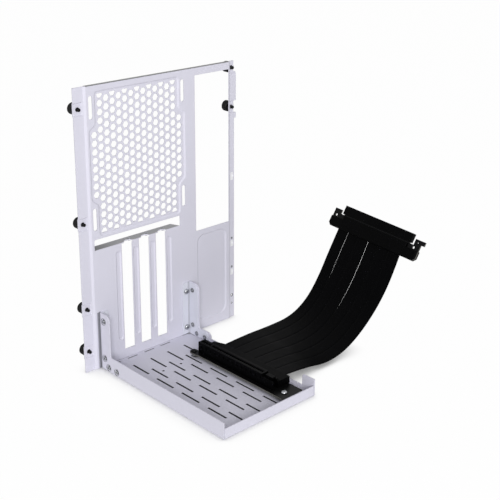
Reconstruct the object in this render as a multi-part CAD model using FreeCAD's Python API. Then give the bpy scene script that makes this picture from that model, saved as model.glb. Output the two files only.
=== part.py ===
import FreeCAD, Part
import math
import os

V = FreeCAD.Vector

# Vertical graphics-card bracket for a computer case: a pressed back panel in place of the case's
# slot area, a folded tray carried by two corner brackets, and a riser socket on the tray with a
# flat cable that ends in an edge plug.
# Millimetres. X runs across the panel, Y from its front to its back, Z up. While the pieces are
# made, X = 0 is the middle of the panel, Y = 0 its front face and Z = 0 its lower edge.

# Sheet metal
sheet = 1.0                 # thickness of the panel, the tray and the corner brackets
bend = 0.5                  # inside radius of a fold
press = 1.0                 # depth of a pressed recess
press_run = 1.5             # run of its slanted edge
fit = 0.05                  # clearance of a screw in its hole, on the radius

# Back panel
panel_width = 190.0
panel_height = 275.0
left_strip = 10.5           # flat mounting strips, set back from the main face
right_strip = 5.6
strip_back = 1.5
joggle_run = 2.2
tab_reach = 2.5             # locating tabs on the right edge
tab_below_top = 11.0
tab_length = 47.0
lip_depth = 3.0             # fold along the top edge, behind the panel

# Cut-out for the motherboard's connectors
io_width = 44.45
io_height = 158.75
io_below_top = 7.35
io_margin = 0.25            # from the cut-out to the joggle
io_corner = 1.0

# Fan opening: ventilation field with four slots round it
fan_from_left = 69.64
fan_below_top = 72.3
fan_spacing = 105.0
fan_slot_length = 21.5
fan_slot_width = 4.4
hex_flats = 6.2
hex_pitch = 8.04
hex_columns = 13
hex_rows = 16               # whole holes in every second column
hex_field_height = 131.0    # cuts the outermost holes of the other columns
hex_drop = 1.5              # middle of the field, below the middle of the fan slots
bulge_rows = 8
bulge_rise = 5.57           # height of a bulge's slanted ends
field_rim = 1.5             # flat rim between the holes and the slanted edge
field_corner = 4.0

# Card slots with the ledge that the cards' brackets are screwed to
card_slots = 3
card_pitch = 20.32
card_slot_width = 12.3
card_slot_left = 45.5       # from the panel's left edge to the first slot
card_slot_bottom = 9.85
ledge_below_top = 155.0
ledge_depth = 10.0
ledge_before = 30.0         # length of the ledge before the first slot
ledge_after = 30.56         # and past the last one
ledge_taper = 3.6
ledge_margin = 0.4          # from the ledge's ends to the window's sides
window_height = 10.8
window_corner = 1.5
notch_radius = 5.15
notch_shift = 2.5           # middle of the notch, right of the slot's middle
ledge_hole_radius = 1.6
ledge_hole_right = 1.7      # from the slot's right side to the tapped hole
ledge_hole_depth = 6.0

# Stiffening beads between the slots, and the plain recess under the cut-out
bead_width = 6.0
bead_bottom = 21.0
bead_below_ledge = 7.0
bead_run = 1.2
recess_width = 39.3
recess_from_right = 12.0
recess_bottom = 9.0
recess_below_io = 5.0
recess_corner = 9.0

# Thumbscrews behind the panel's edges
left_screw_inset = 5.0
right_screw_inset = 3.2
left_screws_below_top = [19.9, 127.0]
left_screws_above_bottom = [63.5, 20.4]
right_screws_below_top = [6.6, 46.3]
seat_height = 12.3          # pressed seat in the strip
seat_run = 0.8
seat_margin = 0.6           # from a left seat to the joggle
right_seat_margin = 0.3
knob_radius = 5.9
knob_length = 6.0
knob_chamfer = 0.5
collar_radius = 4.4
collar_length = 0.9
neck_radius = 1.35          # bare neck in the panel's hole, which holds the screw captive
neck_gap = 1.2              # from the seat's front to the thread
thread_radius = 1.75
thread_reach = 3.0          # past the panel's front face
panel_hole_radius = 2.1

# Small features of the right strip
dimple_below_top = 118.0
dimples_above_bottom = [84.0, 52.0]
dimple_radius = 1.7
dimple_depth = 0.5
gauge_holes = [(24.5, 1.25), (15.5, 0.9)]

# Tray
tray_left = 16.6            # from the panel's left edge
tray_width = 111.2
tray_depth = 175.6
front_wall = 10.3
left_wall = 16.5
ear_height = 58.5
ear_depth = 16.0
ear_corner = 6.0
right_wall = 11.5
right_wall_depth = 30.5
right_wall_chamfer = 2.6
rim_height = 5.5
rim_start = 33.5
stub_depth = 15.1
stub_height = 16.7
stub_corner = 2.5
corner_seam = 0.4           # open seam between the front wall and the side walls
relief_radius = 1.2

# Slots and holes in the tray's floor
vent_length = 24.3
vent_width = 2.0
vent_pitch_x = 21.03
vent_pitch_y = 36.45
vent_rows = 4
vent_left = 24.7            # first column's distance from the tray's left side
vent_rear = 17.9            # first row's distance from the panel
vent_columns = 4
vent_offset_x = 8.5         # the staggered columns between them
vent_offset_y = 17.95
floor_hole_radius = 1.2
floor_holes = [(38.7, 46.6), (60.4, 46.5)]
tail_slot_length = 12.0     # for the tails of the cards' brackets
tail_slot_width = 1.6
tail_slot_rear = 2.6

# Corner brackets, inside the tray's ears
corner_height = 58.0
corner_depth = 14.4
corner_cut = 4.0
foot_depth = 30.0
foot_height = 11.0
foot_cut = 3.0
flange_width = 9.0
flange_corner = 3.0
corner_lift = 0.6           # above the tray's floor, clear of its fold

# Screws through ear and bracket: distances from the panel and from the table
side_screws = [(6.7, 50.5), (6.7, 12.5), (12.6, 4.7), (25.0, 4.7)]
side_head_radius = 2.75
side_head_rim = 0.3         # edge of the head, standing out of the ear
side_sink = 0.8
screw_radius = 1.5
screw_end = 0.6             # past the last sheet
# Screws through the bracket's flange and the panel
panel_screws = [48.2, 8.8]
panel_screw_inset = 4.0
pan_head_radius = 2.75
pan_head_height = 1.7

# Riser: board on two standoffs, with socket and cable cover
board_thickness = 1.6
board_left = 8.8            # from the socket's middle line
board_right = 16.7
board_rear = 48.0
board_front = 168.0
board_corner = 1.0
ear_lobe_radius = 4.0       # fixing ear on the board's rear edge
standoff_height = 3.0
standoff_radius = 2.5
standoff_foot = 1.25        # radius of the foot pressed into the floor
standoff_bottom = 0.5       # solid metal under the bore
riser_screw_gap = 0.5       # from the screw's end to the bore's bottom
riser_screws = [(5.8, 42.0), (-0.7, 160.0)]    # left of the socket's line, distance from the panel
riser_head_radius = 2.8
riser_head_height = 1.6

socket_x = 86.7             # socket's middle line, from the tray's left side
socket_width = 8.6
socket_height = 11.3
socket_rear = 46.8
socket_length = 89.0
socket_wall = 2.0           # at the ends of the slot
mouth_width = 1.8
mouth_chamfer = 0.8
cavity_width = 3.4
cavity_floor = 2.6
mouth_depth = 1.6
key_start = 12.2            # short section of the slot, before the key
key_width = 1.8
contact_thickness = 0.5
contact_height = 6.0
contact_margin = 0.8
window_count = 14
window_pitch = 6.3
window_size = 1.8
window_tall = 2.4
window_first = 4.4
window_level = 6.2
window_pocket = 0.7

# Retention latch at the socket's front end
cheek = 1.9
cheek_length = 14.2
cheek_height = 8.6
cheek_corner = 3.0
latch_gap = 0.3
latch_pin_radius = 1.2
latch_pin_fit = 0.12
latch_pin_wall = 0.65       # of the cheek, left outside the pin's bore
latch_pivot_forward = 5.7   # from the socket's front end
latch_pivot_height = 2.9    # above the board
latch_hub_radius = 2.5
latch_post = 3.2
latch_top = 11.0            # above the board
hook_reach = 1.8
hook_height = 2.2
pad_reach = 6.2
pad_height = 1.8
latch_round = 0.5

cover_gap = 0.4             # from the socket to the cable cover
cover_width = 13.0
cover_height = 6.8
cover_rear = 50.0
cover_front = 150.0
cover_cut_x = 4.0           # rear corner of the cover, cut off on the slant
cover_cut_y = 11.0

# Cable: six flat strips side by side, from the cover's right face to the plug
strip_count = 6
strip_pitch = 14.0
strip_width = 13.6
strip_thickness = 0.9
arc_share = 0.45            # of the shorter run beside a bend, taken up by its arc
# The strips' route at the cable's rear edge and at its front edge: points out from the cover's
# right face and up from the board
rear_route = [(0.0, 6.2), (26.4, 7.5), (58.2, 6.5), (90.4, 7.5), (114.3, 19.2), (132.6, 40.0),
              (147.5, 64.3), (162.3, 86.5)]
front_route = [(0.0, 6.2), (27.0, 5.7), (55.5, 1.2), (82.5, 5.0), (107.5, 18.0), (129.5, 34.9),
               (147.5, 56.7), (159.4, 81.5)]

# Plug, in its own plane: across (towards the panel) and along (away from the cable)
plug_reach = 160.5          # from the cover's right face
plug_height = 83.4          # above the board
plug_rise = 60.0            # slope of its plane
plug_turn = 3.9             # turned in that plane, rear side further out
plug_mouth = 0.7
plug_top = 17.0
plug_front_end = -61.2
plug_rear_end = 56.6
plug_corner = 3.0
tongue_front = -49.1
tongue_rear = 43.8
cap_top = 26.5
cap_thickness = 4.4
cap_wall = 1.2
tongue_top = 24.6
notch_depth = 0.8
ear_rear_edge = 47.5
ear_rear_top = 20.5
ear_front_edges = (-65.2, -52.8)
ear_front_top = 22.6
ear_front_foot = 18.2
ear_holes = [(52.5, 13.7, 1.4), (-54.0, 13.7, 1.4), (-56.8, 19.5, 0.8)]    # across, along, radius
plug_cover_shoulder = 11.4
plug_cover_step = 3.0       # from the tongue's sides to the cover's raised middle
plug_cover_top = 15.6
plug_cover_thickness = 2.4
plug_cover_edge = 0.8
finger_thickness = 0.1
finger_height = 6.0
finger_inset = 0.5          # from the tongue's top
finger_margin = 1.0         # from the cap's walls to the first finger

edge_left = -panel_width / 2
edge_right = panel_width / 2
strip_inner_left = edge_left + left_strip
strip_inner_right = edge_right - right_strip
main_left = strip_inner_left + joggle_run
main_right = strip_inner_right - joggle_run
io_right = main_right - io_margin
io_left = io_right - io_width
io_top = panel_height - io_below_top
io_bottom = io_top - io_height
fan_height = panel_height - fan_below_top
field_middle = fan_height - hex_drop
ledge_height = panel_height - ledge_below_top
first_slot = edge_left + card_slot_left
slot_lefts = [first_slot + k * card_pitch for k in range(card_slots)]
ledge_left = first_slot - ledge_before
ledge_right = slot_lefts[-1] + ledge_after
fan_x = edge_left + fan_from_left
left_screw_x = edge_left + left_screw_inset
right_screw_x = edge_right - right_screw_inset
left_screw_heights = [panel_height - below for below in left_screws_below_top]
left_screw_heights += left_screws_above_bottom
right_screw_heights = [panel_height - below for below in right_screws_below_top]
dimple_heights = [panel_height - dimple_below_top] + dimples_above_bottom
tab_high = panel_height - tab_below_top
tab_low = tab_high - tab_length
tray_x0 = edge_left + tray_left
tray_x1 = tray_x0 + tray_width
floor_top = sheet
board_bottom = floor_top + standoff_height
board_top = board_bottom + board_thickness
socket_line = tray_x0 + socket_x
cover_left = socket_line + socket_width / 2 + cover_gap
cover_right = cover_left + cover_width
cable_rear = cover_rear + cover_cut_y
plug_middle = V(cover_right + plug_reach, -cable_rear - strip_count * strip_pitch / 2,
                board_top + plug_height)


# Shapes from coordinates

def block(x0, x1, y0, y1, z0, z1):
    lo = V(min(x0, x1), min(y0, y1), min(z0, z1))
    return Part.makeBox(abs(x1 - x0), abs(y1 - y0), abs(z1 - z0), lo)


def rod(radius, start, end):
    """Round bar from one point to another."""
    return Part.makeCylinder(radius, (end - start).Length, start, end - start)


def ring(corners, grow=0.0):
    """Closed outline through (u, v, radius) corners, counter-clockwise, grown outward."""
    count = len(corners)
    points = [V(u, v, 0) for u, v, radius in corners]
    runs = [(points[(i + 1) % count] - points[i]).normalize() for i in range(count)]
    stops = []
    for i in range(count):
        before, after = runs[i - 1], runs[i]
        out_before = V(before.y, -before.x, 0)
        out_after = V(after.y, -after.x, 0)
        corner = points[i] + (out_before + out_after) * (grow / (1 + out_before.dot(out_after)))
        turn = math.atan2(before.cross(after).z, before.dot(after))
        radius = corners[i][2]
        if radius > 0:
            radius += grow if turn > 0 else -grow
        reach = radius * math.tan(abs(turn) / 2)
        inward = (after - before).normalize()
        middle = corner + inward * (radius / math.cos(turn / 2) - radius)
        stops.append((corner - before * reach, middle, corner + after * reach, radius > 0))
    edges = []
    for i in range(count):
        start, middle, end, is_round = stops[i]
        if is_round:
            edges.append(Part.Arc(start, middle, end).toShape())
        onward = stops[(i + 1) % count][0]
        if (onward - end).Length > 1e-6:
            edges.append(Part.LineSegment(end, onward).toShape())
    return Part.Wire(edges)


def prism(corners, plane, start, end):
    """Outline of (u, v, radius) corners drawn out between two levels of its plane's axis.

    front: u = X, v = Z, drawn along Y; side: u = Y, v = Z, along X; top: u = X, v = Y, along Z.
    """
    outline = ring(corners)
    if plane == "front":
        outline.rotate(V(), V(1, 0, 0), 90)
        way = V(0, 1, 0)
    elif plane == "side":
        outline.rotate(V(), V(1, 1, 1), 120)
        way = V(1, 0, 0)
    else:
        way = V(0, 0, 1)
    outline.translate(way * start)
    return Part.Face(outline).extrude(way * (end - start))


def slab_of(u0, u1, v0, v1, radius=0.0):
    """Corners of a rectangle, counter-clockwise."""
    return [(u0, v0, radius), (u1, v0, radius), (u1, v1, radius), (u0, v1, radius)]


def tapered(corners, near, far):
    """Solid between two sizes of one outline: near and far are (growth, y) pairs."""
    rims = []
    for grow, y in (near, far):
        outline = ring(corners, grow)
        outline.rotate(V(), V(1, 0, 0), 90)
        outline.translate(V(0, y, 0))
        rims.append(outline)
    faces = [Part.Face(rim) for rim in rims]
    for a, b in zip(rims[0].OrderedEdges, rims[1].OrderedEdges):
        if isinstance(a.Curve, Part.Line):
            spots = [a.firstVertex(True).Point, a.lastVertex(True).Point,
                     b.lastVertex(True).Point, b.firstVertex(True).Point]
            faces.append(Part.Face(Part.makePolygon(spots + spots[:1])))
        else:
            faces.append(Part.makeRuledSurface(a, b))
    shell = Part.makeShell(faces)
    shell.sewShape()
    body = Part.Solid(shell)
    if body.Volume < 0:
        body.reverse()
    return body


def pressed(plate, corners, face, depth, run):
    """Press a recess with slanted edges backward into a sheet whose front face is at y = face."""
    lean = run / depth
    skin = sheet * math.tan(math.atan2(depth, run) / 2)
    void = tapered(corners, (lean * sheet / 2, face - sheet / 2), (-run, face + depth))
    back = tapered(corners, (skin + lean * sheet / 2, face + sheet / 2),
                   (skin - run, face + depth + sheet))
    return plate.fuse(back).cut(void)


def folded(body, axis, start, end, u, v, su, sv):
    """Give a fold of the sheet its radii: (u, v) is its outer corner, su and sv point inward."""
    outer = bend + sheet

    def at(along, across, up):
        spots = {"x": V(along, across, up), "y": V(across, along, up), "z": V(across, up, along)}
        return spots[axis]

    def bar(near, far):
        a = at(start, u + su * near, v + sv * near)
        b = at(end, u + su * far, v + sv * far)
        return block(a.x, b.x, a.y, b.y, a.z, b.z)

    def core(radius):
        return rod(radius, at(start, u + su * outer, v + sv * outer),
                   at(end, u + su * outer, v + sv * outer))

    sharp = bar(0, outer).cut(core(outer))
    filler = bar(sheet, outer).cut(core(bend))
    return body.cut(sharp).fuse(filler)


# Back panel

def panel_section():
    """The panel's section, seen from above: strips set back on both sides of the main face."""
    shift = sheet * math.tan(math.atan2(strip_back, joggle_run) / 2)
    reach = edge_right + tab_reach
    return [(edge_left, strip_back, 0), (strip_inner_left, strip_back, 0), (main_left, 0, 0),
            (main_right, 0, 0), (strip_inner_right, strip_back, 0), (reach, strip_back, 0),
            (reach, strip_back + sheet, 0), (strip_inner_right - shift, strip_back + sheet, 0),
            (main_right - shift, sheet, 0), (main_left + shift, sheet, 0),
            (strip_inner_left + shift, strip_back + sheet, 0), (edge_left, strip_back + sheet, 0)]


def seats(plate):
    """Pressed seats of the thumbscrews, open to the panel's outer edges."""
    half = seat_height / 2
    beyond = 2 * tab_reach
    for z in left_screw_heights:
        inner = strip_inner_left - seat_margin
        corners = slab_of(edge_left - beyond, inner, z - half, z + half)
        plate = pressed(plate, corners, strip_back, press, seat_run)
    for z in right_screw_heights:
        inner = strip_inner_right + right_seat_margin
        top = z + half
        if top + sheet > panel_height:
            top = panel_height + beyond
        corners = slab_of(inner, edge_right + 2 * beyond, z - half, top)
        plate = pressed(plate, corners, strip_back, press, seat_run)
    outside = [block(edge_left - 4 * beyond, edge_left, -press, 4 * press + sheet, 0, panel_height),
               block(edge_right + tab_reach, edge_right + 4 * beyond, -press, 4 * press + sheet,
                     0, panel_height),
               block(edge_left, edge_right + 4 * beyond, -press, 4 * press + sheet,
                     panel_height, panel_height + 4 * beyond)]
    seat = right_screw_heights[-1]
    for low, high in [(0, tab_low), (seat - half, seat + half), (tab_high, panel_height)]:
        outside.append(block(edge_right, edge_right + tab_reach, -press, 4 * press + sheet, low, high))
    return plate.cut(outside)


def hex_hole(x, z, low, high):
    """Hexagonal hole with level flats, cut off where the field ends."""
    reach = hex_flats / math.sqrt(3)
    corners = []
    for k in range(6):
        angle = math.radians(60 * k)
        corners.append((x + reach * math.cos(angle), z + reach * math.sin(angle), 0))
    hole = prism(corners, "front", 0, 2 * press + sheet)
    if z - hex_flats / 2 < low or z + hex_flats / 2 > high:
        hole = hole.common(block(x - reach, x + reach, 0, 2 * press + sheet, low, high))
    return hole


def hex_centres():
    """Places of the holes: staggered columns, and a short column at each side."""
    step = hex_pitch * math.sqrt(3) / 2
    middle = (hex_columns - 1) / 2
    places = []
    for column in range(-1, hex_columns + 1):
        x = fan_x + (column - middle) * step
        if column in (-1, hex_columns):
            rows = bulge_rows
        elif column % 2:
            rows = hex_rows
        else:
            rows = hex_rows + 1
        for row in range(rows):
            places.append((x, field_middle + (row - (rows - 1) / 2) * hex_pitch))
    return places


def field_outline():
    """Outline of the recessed field: a rectangle with a bulge at each side."""
    step = hex_pitch * math.sqrt(3) / 2
    rim = hex_flats / math.sqrt(3) + field_rim + press_run
    half = (hex_columns - 1) / 2 * step + rim
    wide = half + step
    tall = hex_field_height / 2 + field_rim + press_run
    bulge = (bulge_rows - 1) / 2 * hex_pitch + hex_flats / 2 + field_rim
    slope = bulge + bulge_rise
    r = field_corner
    outline = [(-half, -tall, r), (half, -tall, r), (half, -slope, r), (wide, -bulge, r),
               (wide, bulge, r), (half, slope, r), (half, tall, r), (-half, tall, r),
               (-half, slope, r), (-wide, bulge, r), (-wide, -bulge, r), (-half, -slope, r)]
    return [(fan_x + u, field_middle + v, radius) for u, v, radius in outline]


def fan_slots():
    cutters = []
    for side in (-1, 1):
        for level in (-1, 1):
            x = fan_x + side * fan_spacing / 2
            z = fan_height + level * fan_spacing / 2
            corners = slab_of(x - fan_slot_width / 2, x + fan_slot_width / 2,
                              z - fan_slot_length / 2, z + fan_slot_length / 2, fan_slot_width / 2)
            cutters.append(prism(corners, "front", -press, 2 * press + sheet))
    return cutters


def ledge(plate):
    """Window above the card slots, and the ledge folded backward along its lower edge."""
    x0, x1 = ledge_left - ledge_margin, ledge_right + ledge_margin
    window = [(x0, ledge_height, 0), (x1, ledge_height, 0),
              (x1, ledge_height + window_height, window_corner),
              (x0, ledge_height + window_height, window_corner)]
    plate = plate.cut(prism(window, "front", -press, sheet + press))
    rear = sheet + ledge_depth
    shelf = [(ledge_left, 0, 0), (ledge_right, 0, 0), (ledge_right, sheet + bend, 0),
             (ledge_right - ledge_taper, rear, 0), (ledge_left, rear, 0)]
    plate = plate.fuse(prism(shelf, "top", ledge_height - sheet, ledge_height))
    plate = folded(plate, "x", ledge_left, ledge_right, 0, ledge_height, 1, -1)
    cutters = []
    for left in slot_lefts:
        x = left + card_slot_width / 2 + notch_shift
        cutters.append(rod(notch_radius, V(x, 0, ledge_height - sheet - bend),
                           V(x, 0, ledge_height + sheet)))
        hole_x = left + card_slot_width + ledge_hole_right
        cutters.append(rod(ledge_hole_radius, V(hole_x, sheet + ledge_hole_depth, ledge_height - 2 * sheet),
                           V(hole_x, sheet + ledge_hole_depth, ledge_height + sheet)))
        cutters.append(block(left, left + card_slot_width, -press, sheet + bend,
                             card_slot_bottom, ledge_height + sheet))
    return plate.cut(cutters)


def beads(plate):
    web = card_pitch - card_slot_width
    half = bead_width / 2
    for k in range(card_slots + 1):
        x = first_slot - web / 2 + k * card_pitch
        corners = slab_of(x - half, x + half, bead_bottom, ledge_height - bead_below_ledge, half)
        plate = pressed(plate, corners, 0, press, bead_run)
    return plate


def strip_features(plate):
    """Shank holes of the thumbscrews, half-sheared dimples and two gauge holes."""
    cutters = []
    for z in left_screw_heights:
        cutters.append(rod(panel_hole_radius, V(left_screw_x, 0, z), V(left_screw_x, 5 * press, z)))
    for z in right_screw_heights:
        cutters.append(rod(panel_hole_radius, V(right_screw_x, 0, z), V(right_screw_x, 5 * press, z)))
    for z, radius in gauge_holes:
        cutters.append(rod(radius, V(right_screw_x, 0, z), V(right_screw_x, 5 * press, z)))
    for z in dimple_heights:
        back = strip_back + sheet
        plate = plate.fuse(rod(dimple_radius, V(right_screw_x, back - sheet / 4, z),
                               V(right_screw_x, back + dimple_depth, z)))
        cutters.append(rod(dimple_radius, V(right_screw_x, 0, z),
                           V(right_screw_x, strip_back + dimple_depth, z)))
    return plate.cut(cutters)


def back_panel():
    plate = prism(panel_section(), "top", 0, panel_height)
    top_lip = block(main_left, io_right, 0, sheet + lip_depth, panel_height - sheet, panel_height)
    plate = folded(plate.fuse(top_lip), "x", main_left, io_right, 0, panel_height, 1, -1)
    plate = seats(plate)
    plate = pressed(plate, field_outline(), 0, press, press_run)
    plate = beads(plate)
    recess_right = edge_right - recess_from_right
    recess = slab_of(recess_right - recess_width, recess_right, recess_bottom,
                     io_bottom - recess_below_io, recess_corner)
    plate = pressed(plate, recess, 0, press, press_run)
    plate = ledge(plate)
    plate = strip_features(plate)
    low = field_middle - hex_field_height / 2
    high = field_middle + hex_field_height / 2
    cutters = [hex_hole(x, z, low, high) for x, z in hex_centres()] + fan_slots()
    io_cut = slab_of(io_left, io_right, io_bottom, io_top, io_corner)
    cutters.append(prism(io_cut, "front", -press, 2 * press + sheet))
    for x in flange_screw_places():
        for z in panel_screws:
            cutters.append(rod(screw_radius + fit, V(x, -press, z), V(x, 3 * press, z)))
    return plate.cut(cutters)


# Tray

def left_wall_outline():
    return [(-tray_depth, 0, 0), (0, 0, 0), (0, ear_height, 0),
            (-ear_depth, ear_height, ear_corner), (-ear_depth, left_wall, relief_radius),
            (-tray_depth, left_wall, 0)]


def right_wall_outline():
    cut = right_wall_chamfer
    return [(-tray_depth, 0, 0), (0, 0, 0), (0, ear_height, 0),
            (-ear_depth, ear_height, ear_corner), (-ear_depth, right_wall, relief_radius),
            (-right_wall_depth, right_wall, 0), (-rim_start, right_wall - cut, 0),
            (-rim_start, rim_height, 0), (stub_depth - tray_depth, rim_height, 0),
            (stub_depth - tray_depth, stub_height, stub_corner), (-tray_depth, stub_height, 0)]


def vents():
    """Staggered slots of the floor, with the two round holes and the tail slots at its rear."""
    cutters = []
    half = vent_width / 2
    for column in range(vent_columns):
        for staggered in (0, 1):
            if staggered and column == vent_columns - 1:
                continue
            x = tray_x0 + vent_left + column * vent_pitch_x + staggered * vent_offset_x
            for row in range(vent_rows):
                rear = -vent_rear - row * vent_pitch_y - staggered * vent_offset_y
                corners = slab_of(x - half, x + half, rear - vent_length, rear, 0)
                cutters.append(prism(corners, "top", -sheet, 2 * sheet))
    for across, rear in floor_holes:
        x = tray_x0 + across
        cutters.append(rod(floor_hole_radius, V(x, -rear, -sheet), V(x, -rear, 2 * sheet)))
    for k in range(-1, card_slots):
        x = first_slot + k * card_pitch + (card_slot_width - tail_slot_length) / 2
        rear = -tail_slot_rear
        cutters.append(block(x, x + tail_slot_length, rear - tail_slot_width, rear, -sheet, 2 * sheet))
    return cutters


def tray():
    front = -tray_depth
    body = block(tray_x0, tray_x1, front, 0, 0, sheet)
    body = body.fuse([prism(left_wall_outline(), "side", tray_x0, tray_x0 + sheet),
                      prism(right_wall_outline(), "side", tray_x1 - sheet, tray_x1)])
    wall_x0 = tray_x0 + sheet + corner_seam
    wall_x1 = tray_x1 - sheet - corner_seam
    body = body.fuse(block(wall_x0, wall_x1, front, front + sheet, 0, front_wall))
    body = folded(body, "x", wall_x0, wall_x1, front, 0, 1, 1)
    body = folded(body, "y", front, 0, tray_x0, 0, 1, 1)
    body = folded(body, "y", front, 0, tray_x1, 0, -1, 1)
    cutters = vents()
    for side in (-1, 1):
        cutters += [side_screw(side, y, z, fit) for y, z in side_screws]
    for across, rear in riser_screws:
        x = socket_line - across
        cutters.append(rod(standoff_foot + fit, V(x, -rear, -sheet), V(x, -rear, 2 * sheet)))
    return body.cut(cutters).removeSplitter()


# Corner brackets and their screws

def ear_face(side):
    """Outer face of the tray's ear: side -1 is the left one."""
    return tray_x0 if side < 0 else tray_x1


def flange_screw_places():
    return [ear_face(side) - side * (sheet + panel_screw_inset) for side in (-1, 1)]


def corner_bracket(side):
    """Angle inside the ear: an upright with a foot, and a flange on the panel's face."""
    outer = ear_face(side) - side * sheet
    inner = outer - side * sheet
    low = floor_top + corner_lift
    upright = [(-foot_depth, low, 0), (0, low, 0), (0, corner_height, 0),
               (corner_cut - corner_depth, corner_height, 0),
               (-corner_depth, corner_height - corner_cut, 0), (-corner_depth, foot_height, 0),
               (foot_cut - foot_depth, foot_height, 0), (-foot_depth, foot_height - foot_cut, 0)]
    body = prism(upright, "side", min(outer, inner), max(outer, inner))
    end = outer - side * flange_width
    lo, hi = min(outer, end), max(outer, end)
    round_right = flange_corner if side < 0 else 0
    round_left = flange_corner if side > 0 else 0
    flange = [(lo, low, 0), (hi, low, 0), (hi, corner_height, round_right),
              (lo, corner_height, round_left)]
    body = body.fuse(prism(flange, "front", -sheet, 0))
    body = folded(body, "z", low, corner_height, outer, 0, -side, -1)
    cutters = [side_screw(side, y, z, fit) for y, z in side_screws]
    x = outer - side * panel_screw_inset
    cutters += [rod(screw_radius + fit, V(x, -2 * sheet, z), V(x, sheet, z)) for z in panel_screws]
    return body.cut(cutters)


def side_screw(side, y, z, grow=0.0):
    """Countersunk screw through the ear and the bracket, its head outside."""
    face = ear_face(side)

    def at(depth):
        return V(face - side * depth, -y, z)

    inward = V(-side, 0, 0)
    rim = rod(side_head_radius + grow, at(-side_head_rim - grow), at(0))
    sink = Part.makeCone(side_head_radius + grow, screw_radius + grow, side_sink, at(0), inward)
    shank = rod(screw_radius + grow, at(side_sink), at(2 * sheet + screw_end))
    return rim.fuse([sink, shank])


def side_screw_set(side):
    return Part.makeCompound([side_screw(side, y, z) for y, z in side_screws])


def panel_screw_set(side):
    """Pan-head screws through the flange and the panel, heads in front."""
    x = ear_face(side) - side * (sheet + panel_screw_inset)
    screws = []
    for z in panel_screws:
        head = rod(pan_head_radius, V(x, -sheet, z), V(x, -sheet - pan_head_height, z))
        shank = rod(screw_radius, V(x, -sheet, z), V(x, sheet + screw_end, z))
        screws.append(head.fuse(shank))
    return Part.makeCompound(screws)


def thumbscrew(x, z):
    """Captive thumbscrew: knob and collar behind the seat, neck in its hole, thread in front."""
    seat = strip_back + press + sheet
    thread_end = strip_back + press - neck_gap
    knob_face = seat + collar_length
    knob_back = knob_face + knob_length
    profile = [(0, knob_back), (knob_radius - knob_chamfer, knob_back),
               (knob_radius, knob_back - knob_chamfer), (knob_radius, knob_face),
               (collar_radius, knob_face), (collar_radius, seat), (neck_radius, seat),
               (neck_radius, thread_end), (thread_radius, thread_end),
               (thread_radius, -thread_reach), (0, -thread_reach)]
    points = [V(r, y, 0) for r, y in profile]
    outline = Part.makePolygon(points + points[:1])
    body = Part.Face(outline).revolve(V(), V(0, 1, 0), 360)
    body.translate(V(x, 0, z))
    return body


# Riser

def riser_board():
    x0, x1 = socket_line - board_left, socket_line + board_right
    outline = slab_of(x0, x1, -board_front, -board_rear, board_corner)
    body = prism(outline, "top", board_bottom, board_top)
    across, rear = riser_screws[0]
    lobe_x = socket_line - across
    lobe = rod(ear_lobe_radius, V(lobe_x, -rear, board_bottom), V(lobe_x, -rear, board_top))
    neck = block(lobe_x - ear_lobe_radius, lobe_x + ear_lobe_radius, -rear,
                 -board_rear - 2 * board_corner, board_bottom, board_top)
    body = body.fuse([lobe, neck]).removeSplitter()
    holes = []
    for across, rear in riser_screws:
        x = socket_line - across
        holes.append(rod(screw_radius + fit, V(x, -rear, board_bottom), V(x, -rear, board_top)))
    return body.cut(holes)


def riser_standoffs():
    """Round standoffs pressed into the tray's floor, tapped for the board's screws."""
    pieces = []
    for across, rear in riser_screws:
        x = socket_line - across
        post = rod(standoff_radius, V(x, -rear, floor_top), V(x, -rear, board_bottom))
        foot = rod(standoff_foot, V(x, -rear, 0), V(x, -rear, floor_top))
        bore = rod(screw_radius + fit, V(x, -rear, floor_top + standoff_bottom),
                   V(x, -rear, board_bottom))
        pieces.append(post.fuse(foot).cut(bore))
    return Part.makeCompound(pieces)


def riser_screw_set():
    screws = []
    for across, rear in riser_screws:
        x = socket_line - across
        head = rod(riser_head_radius, V(x, -rear, board_top),
                   V(x, -rear, board_top + riser_head_height))
        end = floor_top + standoff_bottom + riser_screw_gap
        shank = rod(screw_radius, V(x, -rear, board_top), V(x, -rear, end))
        screws.append(head.fuse(shank))
    return Part.makeCompound(screws)


def slot_sections():
    """Y spans of the slot before and after its key."""
    rear = -socket_rear - socket_wall
    front = -socket_rear - socket_length + socket_wall
    key = rear - key_start
    return [(rear, key), (key - key_width, front)]


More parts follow.
